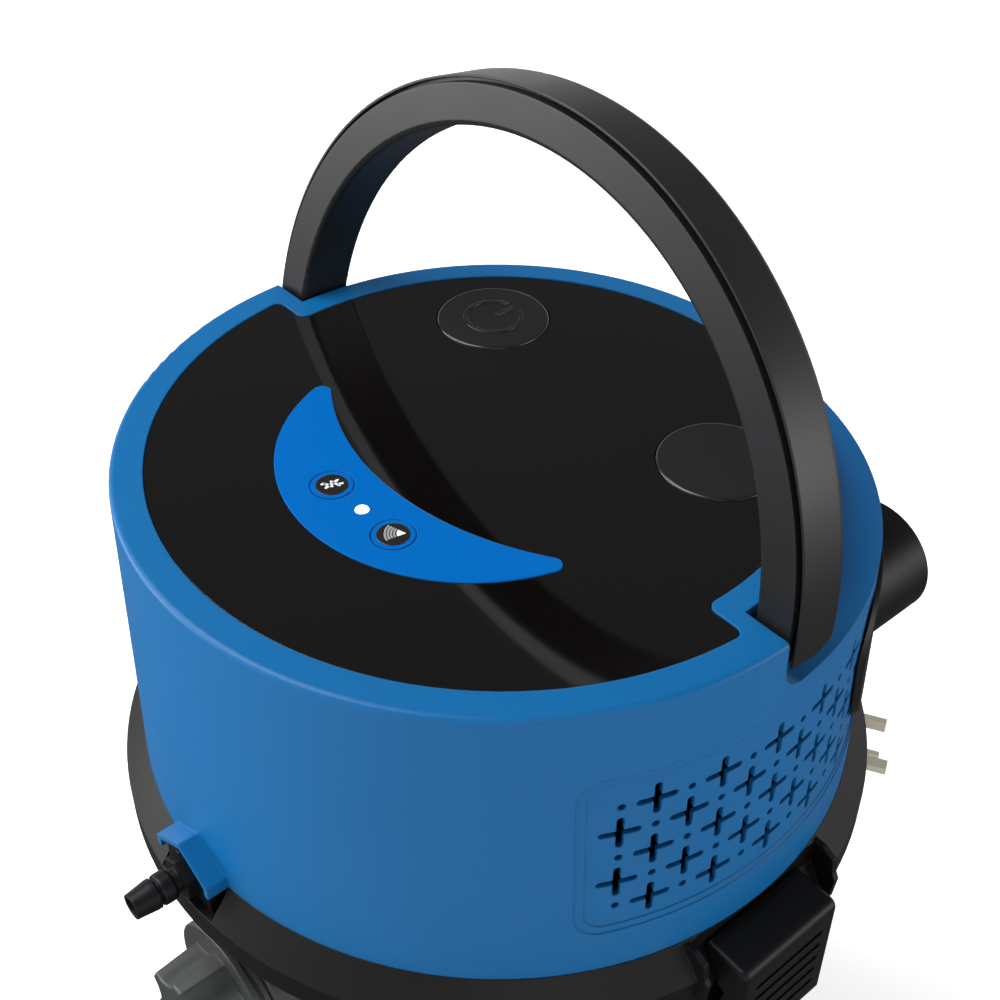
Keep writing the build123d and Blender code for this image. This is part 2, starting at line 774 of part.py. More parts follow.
# =====================================================================================
# Float valve and filter
# =====================================================================================
cage_top = flange_top
cage_bottom = flange_top - 78
ball_r = 22.0
ball_z = cage_bottom + 3.3 + ball_r
filter_bottom = cage_bottom - 22

with BuildPart() as float_cage:
    with BuildSketch(Plane.XY.offset(cage_top - 4)):
        Circle(45)
        Circle(26, mode=Mode.SUBTRACT)
    extrude(amount=4)
    with BuildSketch(Plane.XY.offset(cage_bottom)):
        with PolarLocations(30, 6):
            Circle(2.2)
    extrude(amount=cage_top - cage_bottom - 2)
    with BuildSketch(Plane.XY.offset(cage_bottom)):
        Circle(33)
    extrude(amount=3)
    with BuildSketch(Plane.XY.offset(filter_bottom - 14)):
        Circle(4)
    extrude(amount=cage_bottom - filter_bottom + 15)
float_cage.part.label = "float_cage"
export_step(float_cage.part, "parts/float_cage.step")

with BuildPart() as float_ball:
    with Locations((0, 0, ball_z)):
        Sphere(ball_r)
float_ball.part.label = "float_ball"
export_step(float_ball.part, "parts/float_ball.step")

# Pleated cartridge that slides over the cage.
pleats = 24
pleat_points = []
for k in range(2 * pleats):
    reach = 74 if k % 2 else 60
    pleat_points.append((reach * cos(radians(180 * k / pleats)), reach * sin(radians(180 * k / pleats))))
with BuildPart() as filter_cartridge:
    with BuildSketch(Plane.XY.offset(filter_bottom + 4)):
        Polygon(*pleat_points, align=None)
        Circle(52, mode=Mode.SUBTRACT)
    extrude(amount=flange_top - filter_bottom - 12)
    with BuildSketch(Plane.XY.offset(flange_top - 10)):
        Circle(78)
        Circle(48.2, mode=Mode.SUBTRACT)
    extrude(amount=10)
    with BuildSketch(Plane.XY.offset(filter_bottom)):
        Circle(78)
        Circle(4.2, mode=Mode.SUBTRACT)
    extrude(amount=5)
filter_cartridge.part.label = "filter_cartridge"
export_step(filter_cartridge.part, "parts/filter_cartridge.step")

with BuildPart() as filter_nut:
    with BuildSketch(Plane.XY.offset(filter_bottom - 11)):
        Circle(17)
        with PolarLocations(19, 8):
            Circle(4, mode=Mode.SUBTRACT)
        Circle(4.1, mode=Mode.SUBTRACT)
    extrude(amount=11)
filter_nut.part.label = "filter_nut"
export_step(filter_nut.part, "parts/filter_nut.step")

# =====================================================================================
# Tank, base and castors
# =====================================================================================
with BuildPart() as tank_shell:
    with BuildSketch(Plane.XZ):
        Polygon(
            (0, tank_bottom), (tank_bottom_r, tank_bottom), (tank_top_r, tank_rim),
            (0, tank_rim), align=None,
        )
    revolve(axis=Axis.Z)
    fillet(tank_shell.edges().group_by(Axis.Z)[0], 10)
    with BuildSketch(Plane.XY.offset(tank_rim - 6)):
        Circle(tank_rim_r)
    extrude(amount=6)
    for side in (-1, 1):
        with BuildSketch(Plane.XZ.offset(-25)):
            Polygon(
                (side * 140, latch_pivot_z - 3), (side * latch_pivot_x, latch_pivot_z - 3),
                (side * latch_pivot_x, latch_pivot_z + 5), (side * 140, latch_pivot_z + 34),
                align=None,
            )
            with Locations((side * latch_pivot_x, latch_pivot_z)):
                Circle(6)
        extrude(amount=50)
    with BuildSketch(Plane.XZ):
        Polygon(
            (0, tank_bottom + 3), (tank_bottom_r - 10, tank_bottom + 3),
            (tank_bottom_r - 3, tank_bottom + 10), (tank_top_r - 3, tank_rim + 1),
            (0, tank_rim + 1), align=None,
        )
    revolve(axis=Axis.Z, mode=Mode.SUBTRACT)
    for side in (-1, 1):
        with BuildSketch(Plane.XZ.offset(-30)):
            with Locations((side * latch_pivot_x, latch_pivot_z)):
                Circle(latch_pin_r)
        extrude(amount=60, mode=Mode.SUBTRACT)
    with BuildSketch(Plane.XZ.offset(130)):
        with Locations((0, inlet_z)):
            Circle(30)
    extrude(amount=40, mode=Mode.SUBTRACT)
tank_shell.part.label = "tank_shell"
export_step(tank_shell.part, "parts/tank_shell.step")

with BuildPart() as latch_pins:
    for side in (-1, 1):
        with BuildSketch(Plane.XZ.offset(-31)):
            with Locations((side * latch_pivot_x, latch_pivot_z)):
                Circle(latch_pin_r)
        extrude(amount=62)
latch_pins.part.label = "latch_pins"
export_step(latch_pins.part, "parts/latch_pins.step")

# Suction inlet: a round flange and a neck through the tank wall.
with BuildPart() as inlet_port:
    with BuildSketch(Plane.XZ.offset(140)):
        Circle(30)
        Circle(inlet_bore, mode=Mode.SUBTRACT)
    extrude(amount=-inlet_plate_front - 140)
    with BuildSketch(Plane.XZ.offset(158)):
        Circle(inlet_plate_r)
        Circle(inlet_bore, mode=Mode.SUBTRACT)
    extrude(amount=-inlet_plate_front - 158)
    fillet(inlet_port.edges().group_by(Axis.Y)[0].sort_by(Edge.length)[-1], 1.5)
inlet_port_placed = inlet_port.part.moved(Location((0, 0, inlet_z)))
inlet_port_placed.label = "inlet_port"
export_step(inlet_port_placed, "parts/inlet_port.step")

# Turning cap with a grooved rim, a spigot and a scooped grip.
with BuildPart() as inlet_cap:
    with BuildSketch(Plane.XZ.offset(156)):
        Circle(inlet_bore - 0.05)
    extrude(amount=20)
    with BuildSketch(Plane.XZ.offset(-inlet_plate_front + 0.4)):
        Circle(39)
    extrude(amount=-cap_front + inlet_plate_front - 0.4)
    fillet(inlet_cap.edges().group_by(Axis.Y)[0], 1.0)
    with BuildSketch(Plane.XZ.offset(-cap_front - 5.8)):
        Circle(40)
        Circle(37, mode=Mode.SUBTRACT)
    extrude(amount=2.2, mode=Mode.SUBTRACT)
    with BuildSketch(Plane.XZ.offset(-cap_front)):
        Circle(29)
        with PolarLocations(38, 6, start_angle=0):
            Circle(15, mode=Mode.SUBTRACT)
    extrude(amount=cap_front - knob_front, taper=4)
    fillet(inlet_cap.edges().group_by(Axis.Y)[0], 1.5)
inlet_cap_placed = inlet_cap.part.moved(Location((0, 0, inlet_z)))
inlet_cap_placed.label = "inlet_cap"
export_step(inlet_cap_placed, "parts/inlet_cap.step")

with BuildPart() as inlet_seal:
    with BuildSketch(Plane.XZ.offset(155.3)):
        Circle(34)
        Circle(30, mode=Mode.SUBTRACT)
    extrude(amount=2.7)
inlet_seal_placed = inlet_seal.part.moved(Location((0, 0, inlet_z)))
inlet_seal_placed.label = "inlet_seal"
export_step(inlet_seal_placed, "parts/inlet_seal.step")

# Base with a cup for the tank and four castor lobes.
with BuildPart() as castor_base:
    with BuildSketch(Plane.XY.offset(base_bottom)):
        Circle(tank_bottom_r + 4)
        with PolarLocations(castor_r / 2, 4):
            Rectangle(castor_r, 58)
        with PolarLocations(castor_r, 4):
            Circle(35)
    extrude(amount=8)
    with BuildSketch(Plane.XY.offset(base_bottom + 8)):
        Circle(tank_bottom_r + 4.2)
        Circle(tank_bottom_r + 1.2, mode=Mode.SUBTRACT)
    extrude(amount=26)
    with BuildSketch(Plane.XY.offset(base_bottom + 8)):
        with PolarLocations(castor_r, 4):
            Circle(35)
        Circle(tank_bottom_r + 3, mode=Mode.SUBTRACT)
    extrude(amount=18)
    fillet(castor_base.edges().filter_by(GeomType.CIRCLE).filter_by(
        lambda e: abs(e.radius - 35) < 0.1 and e.center().Z > base_bottom + 20), 6)
    with BuildSketch(Plane.XY.offset(base_bottom)):
        with PolarLocations(castor_r, 4):
            Circle(5.55)
    extrude(amount=22, mode=Mode.SUBTRACT)
castor_base.part.label = "castor_base"
export_step(castor_base.part, "parts/castor_base.step")

for name, turn in castor_angles.items():
    stem_x = castor_r * cos(radians(turn))
    stem_y = castor_r * sin(radians(turn))
    place = Location((stem_x, stem_y, 0), (0, 0, turn + 180))
    with BuildPart() as castor_fork:
        with BuildSketch(Plane.XY.offset(49.5)):
            with Locations((3, 0)):
                RectangleRounded(38, 30, 8)
        extrude(amount=4.5)
        with BuildSketch(Plane.XY.offset(53)):
            Circle(5.5)
        extrude(amount=26)
        with BuildSketch(Plane.XY.offset(53)):
            Circle(10)
        extrude(amount=4.4)
        for offset in (-wheel_width / 2 - 4.5, wheel_width / 2 + 1.5):
            with BuildSketch(Plane.XZ.offset(offset)):
                Polygon(
                    (-8, 50), (22, 50), (castor_trail + 7, wheel_r), (castor_trail - 7, wheel_r),
                    align=None,
                )
                with Locations((castor_trail, wheel_r)):
                    Circle(7)
            extrude(amount=3)
        with BuildSketch(Plane.XZ.offset(-wheel_width / 2 - 5)):
            with Locations((castor_trail, wheel_r)):
                Circle(3)
        extrude(amount=wheel_width + 10)
    castor_fork_placed = castor_fork.part.moved(place)
    castor_fork_placed.label = f"castor_fork_{name}"
    export_step(castor_fork_placed, f"parts/castor_fork_{name}.step")

    with BuildPart() as castor_wheel:
        with BuildSketch(Plane.XZ.offset(-wheel_width / 2)):
            with Locations((castor_trail, wheel_r)):
                Circle(wheel_r)
                Circle(3.05, mode=Mode.SUBTRACT)
        extrude(amount=wheel_width)
        fillet(castor_wheel.edges().filter_by(lambda e: e.length > 120), 3)
        for offset in (-wheel_width / 2, wheel_width / 2 - 3):
            with BuildSketch(Plane.XZ.offset(offset)):
                with Locations((castor_trail, wheel_r)):
                    Circle(15)
                    Circle(7, mode=Mode.SUBTRACT)
            extrude(amount=3, mode=Mode.SUBTRACT)
    castor_wheel_placed = castor_wheel.part.moved(place)
    castor_wheel_placed.label = f"castor_wheel_{name}"
    export_step(castor_wheel_placed, f"parts/castor_wheel_{name}.step")

# =====================================================================================
# Latches
# =====================================================================================
slope = radians(catch_slope)
hook_x = catch_in_r + catch_gap * sin(slope) + catch_gap
hook_z = catch_in_z + catch_gap * cos(slope)
hook_drop = (hook_z - skirt_bottom) / tan(slope)
for name, side in (("latch_right", 1), ("latch_left", -1)):
    with BuildPart() as latch:
        with BuildSketch(Plane.XZ.offset(-latch_half)) as latch_side:
            Polygon(
                (side * hook_x, hook_z), (side * hook_x, latch_top),
                (side * latch_face, latch_top - 1.5),
                (side * latch_face, latch_pivot_z - 1), (side * (latch_face - 3.5), latch_pivot_z - 1),
                (side * (latch_face - 3.5), skirt_bottom - 6),
                (side * (hook_x + hook_drop + 3), skirt_bottom - 2),
                (side * (hook_x + hook_drop), skirt_bottom),
                align=None,
            )
            fillet(latch_side.vertices().filter_by(
                lambda v: abs(abs(v.X) - latch_face) < 0.1 and v.Y > latch_top - 3), 5)
        extrude(amount=2 * latch_half)
        fillet(latch.edges().filter_by(Axis.Z).filter_by(
            lambda e: abs(abs(e.center().X) - latch_face) < 0.1), 3)
        # finger grooves across the face
        groove_plane = Plane.YZ.offset(side * latch_face)
        with BuildSketch(groove_plane):
            for step in range(5):
                with Locations((0, latch_top - 17 - 9.5 * step)):
                    SlotOverall(46, 4.2)
        extrude(amount=-side * 1.8, mode=Mode.SUBTRACT)
        # cheeks that turn on the pin
        for cheek in (-latch_half, latch_half - 4.5):
            with BuildSketch(Plane.XZ.offset(cheek)):
                Polygon(
                    (side * (latch_pivot_x - 5), latch_pivot_z),
                    (side * (latch_face - 1.6), latch_pivot_z - 1),
                    (side * (latch_face - 1.6), skirt_bottom - 3),
                    (side * (latch_pivot_x + 1), skirt_bottom - 3),
                    align=None,
                )
                with Locations((side * latch_pivot_x, latch_pivot_z)):
                    Circle(7)
            extrude(amount=4.5)
        with BuildSketch(Plane.XZ.offset(-latch_half - 1)):
            with Locations((side * latch_pivot_x, latch_pivot_z)):
                Circle(latch_pin_r + 0.05)
        extrude(amount=2 * latch_half + 2, mode=Mode.SUBTRACT)
    latch.part.label = name
    export_step(latch.part, f"parts/{name}.step")

# =====================================================================================
# Mains lead, its holders and its plug
# =====================================================================================
with BuildPart() as cord_gland:
    with BuildSketch(Plane.XY.offset(relief_top)):
        with Locations((gland_x, 150)):
            Rectangle(24, 45, align=(Align.CENTER, Align.MIN))
    extrude(amount=34)
    top_edge = cord_gland.edges().filter_by(Axis.X).sort_by(Axis.Z)[-2:].sort_by(Axis.Y)[-1]
    chamfer(top_edge, 18)
    fillet(cord_gland.edges().filter_by(Axis.Z).group_by(Axis.Y)[-1], 4)
    with BuildSketch(Plane.XZ):
        Polygon(
            (0, wall_bottom_z), (wall_r(wall_bottom_z), wall_bottom_z), (head_top_r, rim_z),
            (0, rim_z), align=None,
        )
    revolve(axis=Axis.Z, mode=Mode.SUBTRACT)
cord_gland.part.label = "cord_gland"
export_step(cord_gland.part, "parts/cord_gland.step")

with BuildPart() as cord_relief:
    with BuildSketch(Plane.XY.offset(relief_end)):
        with Locations((gland_x, coil_y + 1)):
            Circle(4.6)
    with BuildSketch(Plane.XY.offset(relief_top)):
        with Locations((gland_x, coil_y + 1)):
            Circle(6.4)
    loft()
cord_relief.part.label = "cord_relief"
export_step(cord_relief.part, "parts/cord_relief.step")

with BuildPart() as cord_hook:
    with BuildSketch(Plane.XZ.offset(-163)):
        with Locations((coil_x, (flange_bottom + coil_z) / 2 + 2)):
            Rectangle(24, flange_bottom - coil_z - 4)
    extrude(amount=-3.9)
    with BuildSketch(Plane.XZ.offset(-166)):
        with Locations((coil_x, coil_z + coil_mid_r - coil_half - 6.3)):
            Circle(6)
    extrude(amount=-38)
    with BuildSketch(Plane.XZ.offset(-coil_y - coil_half - 0.6)):
        with Locations((coil_x, coil_z + coil_mid_r - coil_half - 6.3)):
            Circle(11)
    extrude(amount=-2.4)
cord_hook.part.label = "cord_hook"
export_step(cord_hook.part, "parts/cord_hook.step")

# Coil of the put-away cord: one closed ring with the size of the wound bundle.
with BuildPart() as cord_coil:
    with BuildSketch(Plane.XY):
        with Locations((coil_mid_r, 0)):
            RectangleRounded(2 * coil_half, 2 * coil_half, 12)
    revolve(axis=Axis.Y)
cord_coil_placed = cord_coil.part.moved(Location((coil_x, coil_y, coil_z)))
cord_coil_placed.label = "cord_coil"
export_step(cord_coil_placed, "parts/cord_coil.step")

with BuildPart() as cord_lead:
    with BuildSketch(Plane.XY.offset(relief_end)):
        with Locations((gland_x, coil_y + 1)):
            Circle(cord_d / 2)
    extrude(amount=coil_z + 14 - relief_end)
cord_lead.part.label = "cord_lead"
export_step(cord_lead.part, "parts/cord_lead.step")

pin_axis = Vector(cos(radians(plug_yaw)), sin(radians(plug_yaw)), 0)
across = Vector(-sin(radians(plug_yaw)), cos(radians(plug_yaw)), 0)
line_axis = across * cos(radians(plug_roll)) + Vector(0, 0, sin(radians(plug_roll)))
plug_plane = Plane(origin=plug_at, x_dir=line_axis, z_dir=pin_axis)
body_depth = 22.0
with BuildPart() as plug_body:
    with BuildSketch(plug_plane):
        with Locations((0, 9)):
            RectangleRounded(50, 48, 9)
    extrude(amount=-body_depth)
    fillet(plug_body.edges().group_by(SortBy.LENGTH)[-1], 1.5)
    with BuildSketch(Plane(origin=plug_plane.from_local_coords((0, -15, -11)), z_dir=-plug_plane.y_dir)):
        Circle(6.5)
    with BuildSketch(Plane(origin=plug_plane.from_local_coords((0, -35, -11)), z_dir=-plug_plane.y_dir)):
        Circle(4.6)
    loft()
plug_body.part.label = "plug_body"
export_step(plug_body.part, "parts/plug_body.step")

with BuildPart() as plug_pins:
    with BuildSketch(plug_plane):
        with Locations((-11.1, 0), (11.1, 0)):
            Rectangle(6.35, 4)
    extrude(amount=17.7)
    with BuildSketch(plug_plane):
        with Locations((0, 22.2)):
            Rectangle(4, 8)
    extrude(amount=22.7)
plug_pins.part.label = "plug_pins"
export_step(plug_pins.part, "parts/plug_pins.step")

# Bracket under the collar that the plug is pushed into.
with BuildPart() as plug_clip:
    with BuildSketch(plug_plane.offset(-body_depth - 0.3)):
        with Locations((-2, 10)):
            RectangleRounded(52, 26, 4)
    extrude(amount=-3)
    with BuildSketch(plug_plane.offset(-body_depth - 3.3)):
        with Locations((-26.8, 10)):
            Rectangle(2.4, 26)
    extrude(amount=16)
    hanger_plane = Plane(origin=plug_plane.origin, x_dir=across, z_dir=pin_axis)
    with BuildSketch(hanger_plane.offset(-body_depth - 0.3)):
        with Locations((-8, (flange_bottom - plug_at[2]) / 2)):
            Rectangle(18, flange_bottom - plug_at[2])
    extrude(amount=-3)
plug_clip.part.label = "plug_clip"
export_step(plug_clip.part, "parts/plug_clip.step")

# Cord from the plug into the coil: three straight runs and two arcs.
tail_points = [
    plug_plane.from_local_coords((0, -35, -11)),
    Vector(79.2, 201.9, 317.1),
    Vector(54.8, 211.0, 314.0),
    Vector(23.2, 199.8, 309.0),
]
runs = [b - a for a, b in zip(tail_points, tail_points[1:])]
arc_radii = []
for before, after in zip(runs, runs[1:]):
    half_turn = radians(before.get_angle(after)) / 2
    arc_radii.append(0.45 * min(before.length, after.length) / tan(half_turn))
print("cord arc radii", [round(r, 1) for r in arc_radii])
with BuildPart() as cord_tail:
    with BuildLine() as tail_line:
        FilletPolyline(*tail_points, radius=arc_radii)
    with BuildSketch(Plane(origin=tail_line.line @ 0, z_dir=tail_line.line % 0)):
        Circle(cord_d / 2)
    sweep()
cord_tail.part.label = "cord_tail"
export_step(cord_tail.part, "parts/cord_tail.step")
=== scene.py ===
import json
from math import cos, pi, radians, sin

import bmesh
import bpy
from mathutils import Matrix, Vector


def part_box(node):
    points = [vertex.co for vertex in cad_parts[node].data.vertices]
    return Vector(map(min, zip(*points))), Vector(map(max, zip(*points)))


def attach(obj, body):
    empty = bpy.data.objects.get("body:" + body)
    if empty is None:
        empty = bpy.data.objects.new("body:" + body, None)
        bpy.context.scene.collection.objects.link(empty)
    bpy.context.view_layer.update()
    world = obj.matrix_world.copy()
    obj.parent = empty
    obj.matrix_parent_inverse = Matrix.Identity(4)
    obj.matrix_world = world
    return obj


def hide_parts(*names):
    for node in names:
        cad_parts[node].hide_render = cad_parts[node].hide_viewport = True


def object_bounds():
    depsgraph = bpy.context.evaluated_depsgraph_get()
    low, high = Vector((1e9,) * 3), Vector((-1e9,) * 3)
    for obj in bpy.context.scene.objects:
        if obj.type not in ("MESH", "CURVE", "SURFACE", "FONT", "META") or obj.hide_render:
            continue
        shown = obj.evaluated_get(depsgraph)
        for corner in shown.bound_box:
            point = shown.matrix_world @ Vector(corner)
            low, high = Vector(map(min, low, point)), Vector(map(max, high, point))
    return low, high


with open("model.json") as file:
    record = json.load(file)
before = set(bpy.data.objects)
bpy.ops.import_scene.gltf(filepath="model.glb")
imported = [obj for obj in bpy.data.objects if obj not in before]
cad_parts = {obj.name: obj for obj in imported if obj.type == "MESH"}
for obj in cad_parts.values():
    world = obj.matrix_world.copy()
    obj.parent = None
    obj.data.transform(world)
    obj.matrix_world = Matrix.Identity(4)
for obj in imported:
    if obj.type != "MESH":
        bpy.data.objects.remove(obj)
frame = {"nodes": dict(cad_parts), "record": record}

size_at_load = [list(corner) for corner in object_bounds()]

scene = bpy.context.scene

# ---------------------------------------------------------------- camera
# The eye stands off the head's rim, to the right and in front, and looks down on it.
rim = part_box("head_shell")[1][2]
eye = Vector((0.4154, -0.3642, 0.4131 + rim))
azimuth = radians(47.887)
elevation = radians(38.448)
roll = radians(1.086)
back = Vector((sin(azimuth) * cos(elevation), -cos(azimuth) * cos(elevation), sin(elevation)))
right = (-back).cross(Vector((0, 0, 1))).normalized()
up = right.cross(-back)
right_rolled = right * cos(roll) + up * sin(roll)
up_rolled = up * cos(roll) - right * sin(roll)
camera_data = bpy.data.cameras.new("camera")
camera_data.sensor_width = 36
camera_data.lens = 54.465
camera_data.shift_x = -0.0187
camera_data.shift_y = -0.0216
camera_data.clip_start = 0.05
camera = bpy.data.objects.new("camera", camera_data)
scene.collection.objects.link(camera)
turn = Matrix((right_rolled, up_rolled, back)).transposed().to_4x4()
camera.matrix_world = Matrix.Translation(eye) @ turn
scene.camera = camera
scene.view_settings.view_transform = "Standard"


# ---------------------------------------------------------------- materials
def material(name, base, rough, **more):
    """A Principled material with a mottled base colour, uneven roughness and a fine bump."""
    made = bpy.data.materials.new(name)
    made.use_nodes = True
    nodes = made.node_tree.nodes
    links = made.node_tree.links
    shader = nodes["Principled BSDF"]
    place = nodes.new("ShaderNodeTexCoord")
    metallic = more.get("metallic", 0.0)
    shader.inputs["Metallic"].default_value = metallic
    shader.inputs["Specular IOR Level"].default_value = more.get("specular", 0.5)
    shader.inputs["Coat Weight"].default_value = more.get("coat", 0.0)
    shader.inputs["Coat Roughness"].default_value = more.get("coat_rough", 0.05)

    cloud = nodes.new("ShaderNodeTexNoise")
    cloud.inputs["Scale"].default_value = more.get("cloud_scale", 9.0)
    cloud.inputs["Detail"].default_value = 4.0
    links.new(place.outputs["Object"], cloud.inputs["Vector"])
    tone = nodes.new("ShaderNodeMix")
    tone.data_type = "RGBA"
    spread = more.get("spread", 0.06)
    tone.inputs["A"].default_value = [c * (1 - spread) for c in base] + [1]
    tone.inputs["B"].default_value = [min(1, c * (1 + spread)) for c in base] + [1]
    links.new(cloud.outputs["Fac"], tone.inputs["Factor"])
    links.new(tone.outputs["Result"], shader.inputs["Base Color"])

    smear = nodes.new("ShaderNodeTexNoise")
    smear.inputs["Scale"].default_value = more.get("smear_scale", 35.0)
    smear.inputs["Detail"].default_value = 3.0
    links.new(place.outputs["Object"], smear.inputs["Vector"])
    gloss = nodes.new("ShaderNodeMapRange")
    gloss.inputs["To Min"].default_value = rough * (1 - more.get("rough_spread", 0.12))
    gloss.inputs["To Max"].default_value = rough * (1 + more.get("rough_spread", 0.12))
    links.new(smear.outputs["Fac"], gloss.inputs["Value"])
    links.new(gloss.outputs["Result"], shader.inputs["Roughness"])

    grain = nodes.new("ShaderNodeTexNoise")
    grain.inputs["Scale"].default_value = more.get("grain_scale", 1600.0)
    grain.inputs["Detail"].default_value = 2.0
    links.new(place.outputs["Object"], grain.inputs["Vector"])
    bump = nodes.new("ShaderNodeBump")
    bump.inputs["Strength"].default_value = more.get("grain", 0.15)
    bump.inputs["Distance"].default_value = more.get("grain_depth", 0.00006)
    links.new(grain.outputs["Fac"], bump.inputs["Height"])
    if more.get("edge", 0.0) > 0:
        soft = nodes.new("ShaderNodeBevel")
        soft.samples = 6
        soft.inputs["Radius"].default_value = more["edge"]
        links.new(soft.outputs["Normal"], bump.inputs["Normal"])
    links.new(bump.outputs["Normal"], shader.inputs["Normal"])
    return made


def glow(made, tint, strength):
    """Lets a material give off light of its own."""
    shader = made.node_tree.nodes["Principled BSDF"]
    shader.inputs["Emission Color"].default_value = tint
    shader.inputs["Emission Strength"].default_value = strength


blue = material("blue_shell", (0.001, 0.108, 0.300), 0.40, edge=0.0011, spread=0.03, specular=0.25)
crescent_blue = material(
    "crescent_blue", (0.0, 0.109, 0.400), 0.34, edge=0.0004, spread=0.02, specular=0.06,
)
gloss_black = material(
    "gloss_black", (0.0030, 0.0024, 0.0022), 0.055, edge=0.0004, grain=0.03, spread=0.1, coat=0.1,
    rough_spread=0.35, smear_scale=12.0,
)
button_black = material("button_black", (0.0115, 0.0105, 0.010), 0.22, edge=0.0006, grain=0.06)
collar_black = material(
    "collar_black", (0.0055, 0.0055, 0.006), 0.40, edge=0.0009, grain=0.3, specular=0.2,
)
handle_grey = material(
    "handle_grey", (0.009, 0.009, 0.009), 0.38, edge=0.0008, grain=0.4, grain_scale=1300.0,
    specular=0.38,
)
port_grey = material("port_grey", (0.032, 0.035, 0.035), 0.45, edge=0.0009, grain=0.4)
tank_black = material(
    "tank_black", (0.016, 0.017, 0.018), 0.48, edge=0.0012, grain=0.6, grain_scale=900.0,
)
inner_black = material("inner_black", (0.01, 0.01, 0.01), 0.6, grain=0.3)
rubber = material("rubber", (0.014, 0.014, 0.014), 0.62, grain=0.4)
sheath = material("cord_sheath", (0.012, 0.012, 0.012), 0.42, grain=0.25, grain_scale=900.0)
tread = material("tread", (0.09, 0.09, 0.095), 0.58, edge=0.0008, grain=0.4)
steel = material("steel", (0.55, 0.55, 0.57), 0.3, metallic=1.0, grain=0.2, rough_spread=0.3)
pin_metal = material("pin_metal", (0.80, 0.74, 0.60), 0.28, metallic=0.35, edge=0.0004, grain=0.15)
copper = material("winding", (0.42, 0.2, 0.09), 0.4, metallic=0.9, grain=0.8, grain_scale=400.0)
aluminium = material("aluminium", (0.62, 0.62, 0.64), 0.35, metallic=1.0, grain=0.3)
natural = material("natural_plastic", (0.72, 0.71, 0.68), 0.4, grain=0.2)
foam = material("foam", (0.05, 0.05, 0.055), 0.95, grain=1.0, grain_scale=420.0, grain_depth=0.0008)
paper = material("filter_paper", (0.74, 0.71, 0.62), 0.85, grain=0.7, grain_scale=700.0)
board = material("board", (0.012, 0.12, 0.045), 0.35, grain=0.3, grain_scale=500.0)
white_mark = material("white_mark", (0.82, 0.84, 0.86), 0.35, grain=0.05)
grey_mark = material("grey_mark", (0.28, 0.29, 0.30), 0.35, grain=0.05)
lamp = material("lamp", (0.9, 0.93, 0.98), 0.2, grain=0.02)
glow(lamp, (0.9, 0.95, 1, 1), 0.9)

slot_materials = {
    "head_blue": blue,
    "crescent_blue": crescent_blue,
    "panel_black": gloss_black,
    "button_black": button_black,
    "collar_black": collar_black,
    "handle_grey": handle_grey,
    "tank_black": tank_black,
    "port_grey": port_grey,
    "key_blue": crescent_blue,
    "lamp_white": lamp,
    "rubber_black": rubber,
    "wheel_grey": tread,
    "steel": steel,
    "brass_pins": pin_metal,
    "copper_iron": copper,
    "alu": aluminium,
    "white_plastic": natural,
    "foam_grey": foam,
    "filter_paper": paper,
    "board_green": board,
    "fork_black": inner_black,
    "inner_black": inner_black,
    "cord_black": sheath,
}
for entry in frame["record"]["subparts"]:
    node = frame["nodes"][entry["node"]]
    node.data.materials.clear()
    node.data.materials.append(slot_materials[entry["material_slot"]])


# ---------------------------------------------------------------- mains lead
def lerp(a, b, t):
    """The value a fraction t of the way from a to b."""
    return a + (b - a) * t


def ease(t):
    """A smooth step from 0 to 1."""
    t = min(1.0, max(0.0, t))
    return t * t * (3 - 2 * t)


cord_width = 0.007
coil_centre = Vector((-0.007, 0.185, 0.291))
layer_outer = 0.0562
layer_pitch = 0.0071
layer_turns = 3.9
layers = 5
half_axial = 0.0135
points_per_turn = 20
first_turn = 0.02
climb_from = 0.93
exit_point = Vector((-0.0632, 0.186, 0.377))

# Down from the gland into the outermost layer.
route = [exit_point.copy()]
for height, depth in ((0.366, 0.186), (0.352, 0.1855), (0.336, 0.182), (0.318, 0.1765)):
    route.append(Vector((exit_point.x, depth, height)))
# Layer on layer inwards, each wound across to the other side, with a climb at its end.
total_turns = layers * layer_turns - first_turn
count = int(total_turns * points_per_turn)
for k in range(count + 1):
    turns = first_turn + k / points_per_turn
    layer = min(layers - 1, int(turns / layer_turns))
    within = turns / layer_turns - layer
    last_layer = layer == layers - 1
    climb = 0.0 if last_layer else ease((within - climb_from) / (1 - climb_from))
    radius = layer_outer - layer_pitch * (layer + climb)
    side = -1 if layer % 2 == 0 else 1
    shift = side * half_axial * (1 - 2 * min(1.0, within / climb_from))
    angle = pi + 2 * pi * turns
    route.append(coil_centre + Vector((radius * cos(angle), shift, radius * sin(angle))))
# Out of the coil's eye and round to the plug.
for place in (
    (0.0305, 0.2030, 0.3060), (0.0430, 0.2080, 0.3110), (0.0548, 0.2105, 0.3140),
    (0.0670, 0.2070, 0.3155), (0.0792, 0.1990, 0.3171), (0.0868, 0.1885, 0.3200),
    (0.0911, 0.1805, 0.3223),
):
    route.append(Vector(place))


def curve_length(points):
    """Length of the open uniform cubic B-spline with these control points, ends clamped."""
    probe_data = bpy.data.curves.new("probe", "CURVE")
    probe_data.dimensions = "3D"
    spline = probe_data.splines.new("NURBS")
    spline.points.add(len(points) - 1)
    for spot, place in zip(spline.points, points):
        spot.co = (*place, 1)
    spline.order_u = 3
    spline.use_endpoint_u = True
    length = spline.calc_length()
    bpy.data.curves.remove(probe_data)
    return length


cord_length = curve_length(route)
print("cord length", round(cord_length, 3))

